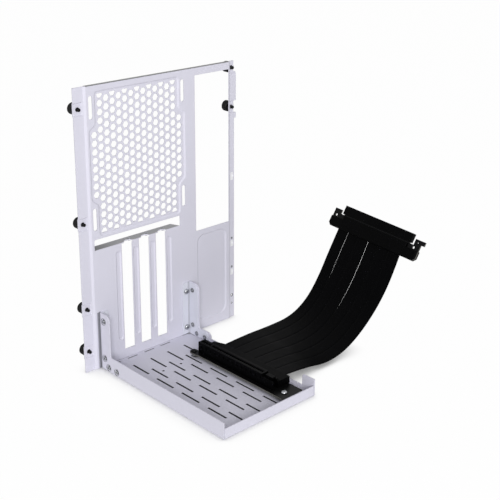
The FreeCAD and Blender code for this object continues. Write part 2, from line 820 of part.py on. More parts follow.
def slot_housing():
    x0, x1 = socket_line - socket_width / 2, socket_line + socket_width / 2
    rear, front = -socket_rear, -socket_rear - socket_length
    top = board_top + socket_height
    body = block(x0, x1, front, rear, board_top, top)
    cutters = []
    for a, b in slot_sections():
        cutters.append(block(socket_line - mouth_width / 2, socket_line + mouth_width / 2, a, b,
                             board_top + cavity_floor, top))
        cutters.append(block(socket_line - cavity_width / 2, socket_line + cavity_width / 2, a, b,
                             board_top + cavity_floor, top - mouth_depth))
        half = mouth_width / 2
        lead_in = [(socket_line - half, top - mouth_chamfer, 0),
                   (socket_line + half, top - mouth_chamfer, 0),
                   (socket_line + half + mouth_chamfer, top, 0),
                   (socket_line - half - mouth_chamfer, top, 0)]
        cutters.append(prism(lead_in, "front", a, b))
    for k in range(window_count):
        y = rear - window_first - k * window_pitch
        z = board_top + window_level
        cutters.append(block(x0, x0 + window_pocket, y - window_size, y, z, z + window_tall))
        cutters.append(block(x1 - window_pocket, x1, y - window_size, y, z, z + window_tall))
    body = body.cut(cutters)
    pivot_y, pivot_z = latch_pivot()
    for side in (-1, 1):
        outside = socket_line + side * socket_width / 2
        inside = outside - side * cheek
        end = front - cheek_length
        cheek_side = [(end, board_top, 0), (front, board_top, 0),
                      (front, board_top + cheek_height, 0),
                      (end, board_top + cheek_height, cheek_corner)]
        body = body.fuse(prism(cheek_side, "side", min(outside, inside), max(outside, inside)))
    bore = rod(latch_pin_radius + latch_pin_fit, V(x0 + latch_pin_wall, pivot_y, pivot_z),
               V(x1 - latch_pin_wall, pivot_y, pivot_z))
    return body.cut(bore).removeSplitter()


def slot_contacts():
    """Two rows of contact springs in each section of the slot, as bars against its walls."""
    bars = []
    z = board_top + cavity_floor
    for a, b in slot_sections():
        for side in (-1, 1):
            wall = socket_line + side * cavity_width / 2
            bars.append(block(wall, wall - side * contact_thickness, a - contact_margin,
                              b + contact_margin, z, z + contact_height))
    return Part.makeCompound(bars)


def latch_pivot():
    return (-socket_rear - socket_length - latch_pivot_forward, board_top + latch_pivot_height)


def slot_latch():
    """Rocking latch between the cheeks: hub and pin, post, hook to the slot and press pad."""
    y, z = latch_pivot()
    half = socket_width / 2 - cheek - latch_gap
    x0, x1 = socket_line - half, socket_line + half
    top = board_top + latch_top
    post = latch_post / 2
    outline = [(y - post, z, 0), (y + post, z, 0), (y + post, top - hook_height, 0),
               (y + post + hook_reach, top - hook_height / 2, 0),
               (y + post + hook_reach, top, latch_round), (y - pad_reach, top, latch_round),
               (y - pad_reach, top - pad_height, latch_round),
               (y - post, top - pad_height, latch_round)]
    body = prism(outline, "side", x0, x1)
    hub = rod(latch_hub_radius, V(x0, y, z), V(x1, y, z))
    pin_reach = socket_width / 2 - latch_pin_wall - latch_pin_fit
    pin = rod(latch_pin_radius, V(socket_line - pin_reach, y, z), V(socket_line + pin_reach, y, z))
    return body.fuse([hub, pin]).removeSplitter()


def riser_cover():
    """Flat housing over the cable's soldered ends, beside the socket."""
    outline = [(cover_left, -cover_front, 0), (cover_right, -cover_front, 0),
               (cover_right, -cable_rear, 0), (cover_right - cover_cut_x, -cover_rear, 0),
               (cover_left, -cover_rear, 0)]
    return prism(outline, "top", board_top, board_top + cover_height)


# Cable

def bent_path(points):
    """Straight runs joined by tangent arcs: each stretch as start, middle and end with normals."""
    spots = [V(x, 0, z) for x, z in points]
    runs = [b - a for a, b in zip(spots, spots[1:])]
    ways = [V(run).normalize() for run in runs]

    def side_of(way):
        return V(-way.z, 0, way.x)

    stretches = []
    radii = []
    start = spots[0]
    for i in range(1, len(spots) - 1):
        before, after = ways[i - 1], ways[i]
        turn = math.acos(max(-1.0, min(1.0, before.dot(after))))
        reach = arc_share * min(runs[i - 1].Length, runs[i].Length)
        radius = reach / math.tan(turn / 2)
        radii.append(radius)
        inward = (after - before).normalize()
        middle = spots[i] + inward * (radius / math.cos(turn / 2) - radius)
        entry, leave = spots[i] - before * reach, spots[i] + after * reach
        across = side_of((before + after).normalize())
        stretches.append([(start, side_of(before)), None, (entry, side_of(before))])
        stretches.append([(entry, side_of(before)), (middle, across), (leave, side_of(after))])
        start = leave
    last = side_of(ways[-1])
    stretches.append([(start, last), None, (spots[-1], last)])
    return stretches, radii


def offset_edges(stretches, shift):
    edges = []
    for start, middle, end in stretches:
        a = start[0] + start[1] * shift
        b = end[0] + end[1] * shift
        if middle is None:
            edges.append(Part.LineSegment(a, b).toShape())
        else:
            edges.append(Part.Arc(a, middle[0] + middle[1] * shift, b).toShape())
    return edges


def strip_route(k):
    """The route of one strip: a blend between the cable's two edges."""
    share = (k + 0.5) / strip_count
    return [(cover_right + (1 - share) * a[0] + share * b[0],
             board_top + (1 - share) * a[1] + share * b[1])
            for a, b in zip(rear_route, front_route)]


def cable_strip(k):
    route = strip_route(k)
    stretches, radii = bent_path(route)
    half = strip_thickness / 2
    spare = 1.5 * strip_thickness
    first = stretches[0]
    way = (first[2][0] - first[0][0]).normalize()
    first[0] = (first[0][0] - way * spare, first[0][1])
    last = stretches[-1]
    way = (last[2][0] - last[0][0]).normalize()
    last[2] = (last[2][0] + way * spare, last[2][1])
    upper = offset_edges(stretches, half)
    lower = offset_edges(stretches, -half)
    closing = [Part.LineSegment(lower[0].Vertexes[0].Point, upper[0].Vertexes[0].Point).toShape(),
               Part.LineSegment(upper[-1].Vertexes[-1].Point, lower[-1].Vertexes[-1].Point).toShape()]
    outline = Part.Wire(Part.__sortEdges__(upper + lower + closing))
    middle = -cable_rear - (k + 0.5) * strip_pitch
    body = Part.Face(outline).extrude(V(0, strip_width, 0))
    body.translate(V(0, middle - strip_width / 2, 0))
    body = body.cut(block(cover_right - 4 * spare, cover_right, -cover_front, -cable_rear,
                          0, board_top + 2 * cover_height))
    beyond = Part.makeBox(4 * spare, panel_width, 2 * strip_pitch,
                          V(plug_mouth, -panel_width / 2, -strip_pitch))
    body = body.cut(on_plug(beyond))
    middle_line = Part.Wire(offset_edges(bent_path(route)[0], 0))
    print("strip %d: length %.1f mm, volume / (section x length) = %.4f, radii %s" % (
        k + 1, middle_line.Length,
        body.Volume / (strip_width * strip_thickness * middle_line.Length),
        " ".join("%.0f" % radius for radius in radii)))
    return body


# Plug

def on_plug(shape):
    """Put a shape drawn as (along, across, towards the viewer) on the plug's slanted plane."""
    rise, turn = math.radians(plug_rise), math.radians(plug_turn)
    slope = V(math.cos(rise), 0, math.sin(rise))
    rear = V(0, 1, 0)
    along = slope * math.cos(turn) - rear * math.sin(turn)
    across = rear * math.cos(turn) + slope * math.sin(turn)
    out = along.cross(across)
    frame = FreeCAD.Matrix(along.x, across.x, out.x, plug_middle.x,
                           along.y, across.y, out.y, plug_middle.y,
                           along.z, across.z, out.z, plug_middle.z, 0, 0, 0, 1)
    moved = shape.copy()
    moved.Placement = FreeCAD.Placement(frame).multiply(shape.Placement)
    return moved


def plug_board():
    """Circuit board of the plug: body with an ear at each end, and the contact tongue."""
    s0, s1 = ear_front_edges
    margin = cap_wall + fit
    low, high = tongue_front + margin, tongue_rear - margin
    throat = plug_top - notch_depth
    corners = [(plug_mouth, plug_front_end + plug_corner), (plug_mouth, plug_rear_end - plug_corner),
               (plug_mouth + plug_corner, plug_rear_end), (ear_rear_top, plug_rear_end),
               (ear_rear_top, ear_rear_edge), (throat, ear_rear_edge), (throat, high),
               (tongue_top, high), (tongue_top, low), (throat, low),
               (throat, s1), (ear_front_top, s1), (ear_front_top, s0), (ear_front_foot, s0),
               (ear_front_foot, plug_front_end), (plug_mouth + plug_corner, plug_front_end)]
    outline = [(u, v, 0) for u, v in corners]
    body = prism(outline, "top", -board_thickness / 2, board_thickness / 2)
    holes = [rod(radius, V(along, across, -board_thickness), V(along, across, board_thickness))
             for across, along, radius in ear_holes]
    return body.cut(holes)


def plug_cover(side):
    """Moulded cover on one face of the board, its middle raised towards the tongue."""
    near = side * board_thickness / 2
    far = side * (board_thickness / 2 + plug_cover_thickness)
    low, high = tongue_front + plug_cover_step, tongue_rear - plug_cover_step
    corners = [(plug_mouth, plug_front_end + plug_corner), (plug_mouth, plug_rear_end - plug_corner),
               (plug_mouth + plug_corner, plug_rear_end), (plug_cover_shoulder, plug_rear_end),
               (plug_cover_shoulder, high), (plug_cover_top, high), (plug_cover_top, low),
               (plug_cover_shoulder, low), (plug_cover_shoulder, plug_front_end),
               (plug_mouth + plug_corner, plug_front_end)]
    outline = [(u, v, 0) for u, v in corners]
    body = prism(outline, "top", min(near, far), max(near, far))
    rim = [edge for edge in body.Edges
           if abs(edge.BoundBox.ZMin - far) < 1e-3 and abs(edge.BoundBox.ZMax - far) < 1e-3]
    return body.makeChamfer(plug_cover_edge, rim)


def plug_contacts():
    """Contact fingers on both faces of the tongue, one plate each."""
    margin = cap_wall + finger_margin
    end = tongue_top - finger_inset
    plates = []
    for side in (-1, 1):
        near = side * board_thickness / 2
        plates.append(block(end - finger_height, end, tongue_front + margin, tongue_rear - margin,
                            near, near + side * finger_thickness))
    return Part.makeCompound(plates)


def plug_cap():
    """Slip-on cap that guards the contact tongue."""
    outer = block(plug_top, cap_top, tongue_front, tongue_rear, -cap_thickness / 2, cap_thickness / 2)
    half = board_thickness / 2 + finger_thickness + fit
    pocket = block(plug_top, tongue_top + fit, tongue_front + cap_wall, tongue_rear - cap_wall,
                   -half, half)
    return outer.cut(pocket)


def build():
    pieces = {"back_panel": back_panel(), "tray": tray(),
              "left_bracket": corner_bracket(-1), "right_bracket": corner_bracket(1),
              "left_side_screws": side_screw_set(-1), "right_side_screws": side_screw_set(1),
              "left_panel_screws": panel_screw_set(-1), "right_panel_screws": panel_screw_set(1)}
    for k, z in enumerate(left_screw_heights):
        pieces["thumbscrew_left_%d" % (k + 1)] = thumbscrew(left_screw_x, z)
    for k, z in enumerate(right_screw_heights):
        pieces["thumbscrew_right_%d" % (k + 1)] = thumbscrew(right_screw_x, z)
    pieces["riser_board"] = riser_board()
    pieces["riser_standoffs"] = riser_standoffs()
    pieces["riser_screws"] = riser_screw_set()
    pieces["slot_housing"] = slot_housing()
    pieces["slot_contacts"] = slot_contacts()
    pieces["slot_latch"] = slot_latch()
    pieces["riser_cover"] = riser_cover()
    hanging = {}
    for k in range(strip_count):
        hanging["cable_strip_%d" % (k + 1)] = cable_strip(k)
    hanging["plug_board"] = on_plug(plug_board())
    hanging["plug_cover_front"] = on_plug(plug_cover(1))
    hanging["plug_cover_back"] = on_plug(plug_cover(-1))
    hanging["plug_contacts"] = on_plug(plug_contacts())
    hanging["plug_cap"] = on_plug(plug_cap())
    return pieces, hanging


pieces, hanging = build()
box = Part.makeCompound(list(pieces.values())).BoundBox
origin = V(box.Center.x, box.Center.y, box.ZMin)
print("origin in the panel's coordinates: %.3f %.3f %.3f" % (origin.x, origin.y, origin.z))
os.makedirs("parts", exist_ok=True)
for name, shape in {**pieces, **hanging}.items():
    shape.translate(-origin)
    shape.exportStep("parts/%s.step" % name)
    print("%s: %d solids, valid %s, %.0f mm3" % (name, len(shape.Solids), shape.isValid(), shape.Volume))
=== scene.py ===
import math

import bmesh
import bpy
from mathutils import Matrix, Vector


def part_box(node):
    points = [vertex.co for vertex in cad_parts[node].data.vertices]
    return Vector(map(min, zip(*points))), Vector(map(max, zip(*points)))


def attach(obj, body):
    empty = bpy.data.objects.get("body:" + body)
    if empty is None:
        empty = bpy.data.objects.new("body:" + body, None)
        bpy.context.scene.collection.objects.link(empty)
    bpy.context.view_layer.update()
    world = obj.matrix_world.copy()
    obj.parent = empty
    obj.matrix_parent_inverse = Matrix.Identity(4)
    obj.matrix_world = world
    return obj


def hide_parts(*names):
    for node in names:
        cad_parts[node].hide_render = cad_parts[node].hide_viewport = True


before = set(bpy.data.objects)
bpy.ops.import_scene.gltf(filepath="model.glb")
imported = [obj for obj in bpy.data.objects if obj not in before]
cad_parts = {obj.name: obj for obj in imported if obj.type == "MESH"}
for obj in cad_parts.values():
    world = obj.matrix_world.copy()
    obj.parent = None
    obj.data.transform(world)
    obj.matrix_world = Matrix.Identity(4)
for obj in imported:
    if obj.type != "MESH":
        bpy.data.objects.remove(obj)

# Looks of a vertical graphics-card bracket: powder-coated sheet metal, black riser with its flat
# cable and edge plug, knurled thumbscrews and nickel-plated screws.
# Metres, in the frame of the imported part: X across the panel, Y from front to back, Z up.

MM = 0.001
PANEL = Vector((-0.9, 82.3, 0.0)) * MM      # middle of the panel's front face, at its lower edge

SHARP_EDGE = 32.0           # degrees between two faces from which their edge stays sharp

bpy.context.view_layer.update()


def at(x, y, z):
    """A place in millimetres from the panel's middle, its front face and its lower edge."""
    return PANEL + Vector((x, y, z)) * MM


# Camera
CAMERA_PLACE = (-0.58582, -0.66038, 0.46992)
CAMERA_YAW = 43.353         # degrees from +Y towards +X
CAMERA_PITCH = 18.088       # below the horizon
CAMERA_ROLL = 0.302
CAMERA_LENS = 74.37         # millimetres
CAMERA_SENSOR = 36.0
CAMERA_RISE = -0.12         # the frame's middle lies below the lens axis

# Light and floor
KEY_PLACE = Vector((-1.66, -2.13, 1.08))
KEY_TARGET = Vector((0.0, 0.0, 0.12))
KEY_SIZE = 1.1              # metres across
KEY_POWER = 52.5            # watts
WORLD_LIGHT = 0.36
FLOOR_RADIUS = 3.0
FLOOR_DROP = 0.2 * MM       # below the lowest face of the part
FLOOR_INSET = 3 * MM        # from the tray's sides to the painted shadow on the floor beneath it

# Cable: the strips' route across and up, at the cable's rear edge and at its front edge
STRIPS = 6
STRIP_PITCH = 14.0 * MM
STRIP_WIDTH = 14.0 * MM
STRIP_THICKNESS = 0.9 * MM
RIB_PITCH = 1.1 * MM        # of the conductors in a strip
CABLE_REAR = 61.0 * MM      # from the panel's front face to the cable's rear edge
REAR_ROUTE = [(0.0260, 0.0118), (0.0524, 0.0131), (0.0842, 0.0121), (0.1164, 0.0131),
              (0.1403, 0.0248), (0.1586, 0.0456), (0.1735, 0.0699), (0.1883, 0.0921)]
FRONT_ROUTE = [(0.0260, 0.0118), (0.0530, 0.0098), (0.0815, 0.0038), (0.1085, 0.0078),
               (0.1335, 0.0217), (0.1555, 0.0411), (0.1735, 0.0643), (0.1854, 0.0871)]
# How far the slits between the strips open, in millimetres, at the route's points
SLIT_OPENINGS = [(0.0, 0.0, 0.0, 0.0, 0.0, 0.20, 0.41, 0.36), (0.0, 0.0, 0.0, 0.0, 0.0, 0.0, 0.0, 0.0),
                 (0.0, 0.0, 0.0, 0.04, 0.20, 0.40, 0.46, 0.41), (0.0, 0.0, 0.0, 0.0, 0.0, 0.04, 0.12, 0.12),
                 (0.0, 0.0, 0.0, 0.0, 0.0, 0.0, 0.0, 0.0)]
STRIP_SAMPLES = 24          # steps from one point of the route to the next
STRIP_OVERLAP = 0.5 * MM    # into the cover and into the plug

# Plug: its plane rises along its own X and lies across the cable
PLUG_MIDDLE = at(186.5, -103.0, 89.0)
PLUG_RISE = math.radians(60.0)
PLUG_TURN = math.radians(3.9)
PLUG_MOUTH = 0.7 * MM       # its board and covers start this far along

# Screws: height of the head, from its seat to the end of its solid
KNOB_HEIGHT = 6.9 * MM
SUNK_RIM = 0.3 * MM
PAN_HEAD = 1.7 * MM
RISER_HEAD = 1.6 * MM

# Places on the panel, tray and corner brackets, in millimetres as at() takes them
TOP_FOLD = 274.4            # the top fold's upper side lies above this
MAIN_SHEET = (-82.3, 87.2)  # sides of the sheet between the edge strips
LEDGE_TOP = 120.0
LEDGE_START = 1.3
LEDGE_DARK = -86.0          # the ledge's painted shade is darkest up to here
LEDGE_PALE = -45.0          # and lightest from here on
LEDGE_HOLES = [-35.5, -15.18, 5.14]
LEDGE_HOLES_BACK = 7.0
RIGHT_STRIP = 91.8          # line of its dimples and holes
STRIP_HIGHLIGHTS = [(156.3, 4.0), (83.2, 3.4), (51.2, 3.4)]               # painted highlights on the dimples: middle, half the height
STRIP_HIGHLIGHT_WIDTH = 3.6
STRIP_SHADE_SPOTS = [(89.0, 1.2), (57.0, 1.2), (24.5, 1.8), (15.5, 1.1)]  # painted shade spots above two highlights and in two holes: middle, radius
EAR_SHADE = (-79.0, 0.0)     # painted shade on the panel, beside the tray's left ear
EAR_SHADE_TOP = 58.0
EAR_EDGE = (-78.4, 0.3)     # painted shade on the ear, beside the panel
EAR_EDGE_START = 1.0
BRACKET_CORNER = (1.2, -1.2)        # painted shade's corner: from the right bracket's outer face, and from the panel's face
# Where the tray's vents and rear slots get painted shade
VENTS_MIDDLE = (-22.0, -93.0)
VENTS_HALF = (36.0, 78.0)
REAR_SLOTS_START = -9.0
REAR_SLOTS_TOP = 6.0


# Shader maths

class Value:
    """A number that changes over a surface; arithmetic on it adds Math nodes."""

    def __init__(self, nodes, socket):
        self.nodes = nodes
        self.socket = socket

    def __add__(self, other):
        return self.nodes.maths("ADD", self, other)

    def __sub__(self, other):
        return self.nodes.maths("SUBTRACT", self, other)

    def __mul__(self, other):
        return self.nodes.maths("MULTIPLY", self, other)

    def __truediv__(self, other):
        return self.nodes.maths("DIVIDE", self, other)

    def __pow__(self, other):
        return self.nodes.maths("POWER", self, other)

    def __lt__(self, other):
        return self.nodes.maths("LESS_THAN", self, other)

    def __gt__(self, other):
        return self.nodes.maths("GREATER_THAN", self, other)

    def __rsub__(self, other):
        return self.nodes.maths("SUBTRACT", other, self)

    def __rtruediv__(self, other):
        return self.nodes.maths("DIVIDE", other, self)

    __radd__ = __add__
    __rmul__ = __mul__

    def size(self):
        """Its distance from 0."""
        return self.nodes.maths("ABSOLUTE", self)

    def wave(self):
        """Sine of an angle in radians."""
        return self.nodes.maths("SINE", self)

    def fade(self, low, high):
        """0 below low, 1 above high and smooth between them."""
        settings = {"interpolation_type": "SMOOTHSTEP"}
        inputs = {"Value": self, "From Min": low, "From Max": high}
        return self.nodes.add("ShaderNodeMapRange", settings, inputs)


class Nodes:
    """The node tree of a material or world, and one method that adds any node."""

    def __init__(self, owner):
        owner.use_nodes = True
        self.tree = owner.node_tree

    def feed(self, socket, value):
        """Give a socket a value or a link."""
        if isinstance(value, Value):
            self.tree.links.new(value.socket, socket)
        elif isinstance(value, (tuple, Vector)) and len(value) == 3 and socket.type == "RGBA":
            socket.default_value = (*value, 1.0)
        else:
            socket.default_value = value

    def add(self, kind, settings=None, inputs=None, output=0):
        """Add a node with its settings and then its sockets, and give one of its outputs."""
        node = self.tree.nodes.new(kind)
        for name, value in (settings or {}).items():
            setattr(node, name, value)
        for name, value in (inputs or {}).items():
            self.feed(node.inputs[name], value)
        return Value(self, node.outputs[output])

    def maths(self, operation, *terms):
        return self.add("ShaderNodeMath", {"operation": operation}, dict(enumerate(terms)))

    def seen(self):
        """1 for the camera's rays, for reflections and for what is seen through glass."""
        path = self.add("ShaderNodeLightPath").socket.node
        camera, glossy, through = (Value(self, path.outputs[name]) for name in (
            "Is Camera Ray", "Is Glossy Ray", "Is Transmission Ray"))
        return self.maths("MAXIMUM", self.maths("MAXIMUM", camera, glossy), through)


class Finish(Nodes):
    """A material in the making."""

    def __init__(self, name, fixed=None):
        self.material = bpy.data.materials.new(name)
        super().__init__(self.material)
        self.shader = self.tree.nodes["Principled BSDF"]
        for socket, value in (fixed or {}).items():
            self.set(socket, value)

    def set(self, socket, value):
        """Give a socket of the shader a value or a link."""
        self.feed(self.shader.inputs[socket], value)

    def place(self):
        """Place on the surface, in metres."""
        return self.add("ShaderNodeTexCoord", output="Object")

    def parts(self, vector):
        """The three components of a vector."""
        node = self.add("ShaderNodeSeparateXYZ", None, {0: vector}).socket.node
        return [Value(self, socket) for socket in node.outputs]

    def along(self, vector, direction):
        """How far a vector reaches in a direction."""
        return self.add("ShaderNodeVectorMath", {"operation": "DOT_PRODUCT"},
                        {0: vector, 1: tuple(direction)}, output="Value")

    def outward(self):
        """The way that the surface faces."""
        return self.add("ShaderNodeNewGeometry", output="True Normal")

    def noise(self, grain, detail):
        """Cloudy noise between 0 and 1, with lumps of the given size in metres."""
        return self.add("ShaderNodeTexNoise", None,
                        {"Vector": self.place(), "Scale": 1.0 / grain, "Detail": detail})

    def openness(self, reach):
        """1 where nothing stands within reach of the surface, down to 0 in narrow gaps."""
        return self.add("ShaderNodeAmbientOcclusion", {"samples": 16}, {"Distance": reach}, output="AO")

    def blend(self, share, first, second):
        """Mix of two colours."""
        return self.add("ShaderNodeMix", {"data_type": "RGBA"}, {0: share, 6: first, 7: second}, output=2)

    def relief(self, height, depth, edge=0.0):
        """Raise the surface by a height between 0 and 1, and soften its edges."""
        inputs = {"Height": height, "Distance": depth, "Strength": 1.0}
        if edge:
            inputs["Normal"] = self.add("ShaderNodeBevel", {"samples": 6}, {"Radius": edge})
        self.set("Normal", self.add("ShaderNodeBump", None, inputs))


# Finishes

def powder(name, cloud=0.045, deep=(0.700, 0.690, 0.785), pale=(0.735, 0.725, 0.825)):
    """Satin powder coat with fine orange peel, and its white, which drifts between two tints."""
    finish = Finish(name, {"Specular IOR Level": 0.45})
    peel = finish.noise(0.0011, 4.0)
    finish.set("Roughness", peel * 0.12 + 0.40)
    finish.relief(peel, 0.00003, edge=0.0005)
    return finish, finish.blend(finish.noise(cloud, 2.0), deep, pale)


def corner_shade(across, behind, near, far, share):
    """A shade along an upright corner, full up to near and gone from far on, both in millimetres."""
    reach = (across * across + behind * behind) ** 0.5
    return (1 - reach.fade(near * MM, far * MM)) * share


def bracket_coat():
    """Powder coat of the corner brackets, with painted shade in the right one's inner corner."""
    finish, white = powder("powder_coat_brackets", 0.03, (0.700, 0.712, 0.790), (0.735, 0.745, 0.825))
    x, y = finish.parts(finish.place())[:2]
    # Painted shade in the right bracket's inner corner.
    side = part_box("right_bracket")[1].x - BRACKET_CORNER[0] * MM
    corner = corner_shade(x - side, y - at(0, BRACKET_CORNER[1], 0).y, near=0.5, far=1.5, share=0.34)
    finish.set("Base Color", finish.blend(corner, white, (0.10, 0.10, 0.12)))
    return finish.material


def panel_coat():
    """Powder coat with grey painted shade on the upward faces of the top fold and the ledge, painted
    highlights and spots of painted shade on the right strip, and painted shade beside the tray's left ear.
    """
    finish, white = powder("powder_coat_panel")
    x, y, z = finish.parts(finish.place())
    upward = finish.parts(finish.outward())[2] > 0.7
    left, right = MAIN_SHEET
    # Painted shade: the upward faces of the top fold and of the ledge turn grey, the ledge darkest at its
    # left end.
    top = (z > at(0, 0, TOP_FOLD).z) * (x > at(left, 0, 0).x) * (x < at(right, 0, 0).x)
    ledge = ((z - at(0, 0, LEDGE_TOP).z).size() < 0.6 * MM) * (y > at(0, LEDGE_START, 0).y)
    length = x.fade(at(LEDGE_DARK, 0, 0).x, at(LEDGE_PALE, 0, 0).x)
    grey = finish.blend(length, (0.10, 0.10, 0.105), (0.38, 0.38, 0.395))
    coat_with_shade = finish.blend(top * upward, finish.blend(ledge * upward, white, grey), (0.25, 0.25, 0.255))
    # Painted highlights: pale marks on the right strip's dimples.
    across = x - at(RIGHT_STRIP, 0, 0).x
    painted_highlights = sum(((z - middle * MM).size() < half * MM for middle, half in STRIP_HIGHLIGHTS), 0.0)
    painted_highlights = painted_highlights * (across.size() < STRIP_HIGHLIGHT_WIDTH / 2 * MM)
    highlighted = finish.blend(painted_highlights, coat_with_shade, (0.93, 0.93, 0.96))
    # Painted shade: dark spots above two of the highlights and in two holes.
    holes = sum((across ** 2 + (z - middle * MM) ** 2 < (radius * MM) ** 2
                 for middle, radius in STRIP_SHADE_SPOTS), 0.0)
    # Painted shade along the panel beside the tray's left ear.
    ear_corner_shade = corner_shade(x - at(*EAR_SHADE, 0).x, y - at(*EAR_SHADE, 0).y, near=0.5, far=2.2, share=0.7)
    dark = ear_corner_shade * (z < EAR_SHADE_TOP * MM) + holes * 0.8
    finish.set("Base Color", finish.blend(dark, highlighted, (0.055, 0.06, 0.07)))
    return finish.material


def tray_coat():
    """Powder coat with painted shade inside the floor's narrow vents and rear slots and along the left
    ear's edge.
    """
    finish, white = powder("powder_coat_tray")
    x, y, z = finish.parts(finish.place())
    # Painted shade in the floor's narrow vents and rear slots.
    middle = at(*VENTS_MIDDLE, 0.0)
    vents = ((x - middle.x).size() < VENTS_HALF[0] * MM) * ((y - middle.y).size() < VENTS_HALF[1] * MM)
    rear = (y > at(0, REAR_SLOTS_START, 0).y) * (z < REAR_SLOTS_TOP * MM) * 0.55
    narrow = 1 - finish.openness(0.004).fade(0.42, 0.66)
    shaded = finish.blend((vents + rear) * narrow, white, (0.045, 0.045, 0.05))
    # Painted shade on the ear along its edge beside the panel.
    edge = corner_shade(x - at(*EAR_EDGE, 0).x, y - at(*EAR_EDGE, 0).y, near=1.3, far=3.2, share=0.8)
    edge = edge * (z > EAR_EDGE_START * MM)
    finish.set("Base Color", finish.blend(edge, shaded, (0.06, 0.065, 0.075)))
    return finish.material


def nickel():
    """Nickel-plated steel with darker patches, and painted shade, nearly black, in its crevices."""
    finish = Finish("nickel_plate", {"Metallic": 1.0})
    patches = finish.noise(0.0016, 3.0)
    plated = finish.blend(patches, (0.36, 0.37, 0.39), (0.55, 0.56, 0.58))
    # Painted shade, nearly black, in the crevices.
    crevice = finish.openness(0.0015).fade(0.55, 0.96)
    finish.set("Base Color", finish.blend(crevice, (0.02, 0.023, 0.03), plated))
    finish.set("Roughness", patches * 0.20 + 0.24)
    finish.relief(finish.noise(0.0003, 2.0), 0.00001, edge=0.0001)
    return finish.material


def black_oxide():
    """Blackened steel of the thumbscrews, a little worn in small patches."""
    finish = Finish("black_oxide", {"Specular IOR Level": 0.12})
    wear = finish.noise(0.0009, 3.0)
    finish.set("Base Color", finish.blend(wear, (0.0025, 0.0025, 0.0027), (0.0070, 0.0070, 0.0074)))
    finish.set("Roughness", wear * 0.20 + 0.34)
    finish.relief(finish.noise(0.0004, 2.0), 0.00001, edge=0.0001)
    return finish.material


def circuit_board(name, face):
    """Black solder mask on the faces that look along face, laminate without mask on the board's edges."""
    finish = Finish(name, {"Specular IOR Level": 0.08})
    edge = finish.along(finish.outward(), face).size() < 0.5
    weave = finish.noise(0.0008, 2.0)
    mask = finish.blend(weave, (0.0018, 0.0018, 0.0020), (0.0036, 0.0036, 0.0039))
    laminate = finish.blend(weave, (0.095, 0.093, 0.085), (0.145, 0.142, 0.130))
    finish.set("Base Color", finish.blend(edge, mask, laminate))
    finish.set("Roughness", edge * 0.35 + 0.32)
    finish.relief(weave, 0.00001, edge=0.0001)
    return finish.material


def moulded_black(name, grain, depth, roughness):
    """Black moulded plastic with a fine grain."""
    finish = Finish(name, {"Specular IOR Level": 0.03})
    texture = finish.noise(grain, 3.0)
    drift = finish.noise(0.02, 2.0)
    finish.set("Base Color", finish.blend(drift, (0.0004, 0.0004, 0.0005), (0.0012, 0.0012, 0.0014)))
    finish.set("Roughness", texture * 0.15 + roughness)
    finish.relief(texture, depth, edge=0.0004)
    return finish.material


def gold():
    """Gold plating of the spring contacts."""
    finish = Finish("gold_plate", {"Metallic": 1.0})
    haze = finish.noise(0.0007, 2.0)
    finish.set("Base Color", finish.blend(haze, (0.72, 0.50, 0.17), (0.90, 0.68, 0.30)))
    finish.set("Roughness", haze * 0.15 + 0.22)
    return finish.material


def gold_fingers():
    """Gold contact fingers on black solder mask, a millimetre apart along the plug."""
    finish = Finish("gold_fingers")
    finger = finish.maths("FRACT", finish.along(finish.place(), PLUG_ACROSS) / MM) > 0.3
    finish.set("Base Color", finish.blend(finger, (0.010, 0.010, 0.011), (0.83, 0.60, 0.24)))
    finish.set("Metallic", finger)
    finish.set("Roughness", 0.45 - finger * 0.2)
    finish.relief(finger, 0.00004)
    return finish.material


def cable_film():
    """Black film over the cable's conductors, which show as faint ribs along the strip."""
    finish = Finish("cable_film", {"Specular IOR Level": 0.02})
    across = finish.parts(finish.add("ShaderNodeTexCoord", output="UV"))[0]
    ribs = (across * (math.tau / RIB_PITCH)).wave() * 0.5 + 0.5
    handling = finish.noise(0.012, 3.0)
    finish.set("Base Color", finish.blend(handling, (0.0007, 0.0007, 0.0009), (0.0018, 0.0018, 0.0021)))
    finish.set("Roughness", handling * 0.18 + 0.40)
    finish.relief(ribs * 0.6 + finish.noise(0.0006, 2.0) * 0.4, 0.00004)
    return finish.material


# Meshes

def finished(mesh, material, sharp=SHARP_EDGE):
    """Smooth shading, sharp edges and a material for a mesh."""
    mesh.shade_smooth()
    mesh.set_sharp_from_angle(angle=math.radians(sharp))
    mesh.materials.clear()
    mesh.materials.append(material)
    return mesh


def new_piece(name, shape, material, slot, *nodes, sharp=SHARP_EDGE):
    """Turn a bmesh into a piece that stands for CAD nodes."""
    mesh = bpy.data.meshes.new(name)
    shape.to_mesh(mesh)
    shape.free()
    return place_piece(name, finished(mesh, material, sharp), Matrix(), slot, *nodes)


def place_piece(name, mesh, matrix, slot, *nodes):
    """Show a mesh as a piece that rides on the bracket."""
    piece = bpy.data.objects.new(name, mesh)
    piece.matrix_world = matrix
    bpy.context.scene.collection.objects.link(piece)
    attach(piece, "bracket")
    if nodes:
        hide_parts(*nodes)
    return piece


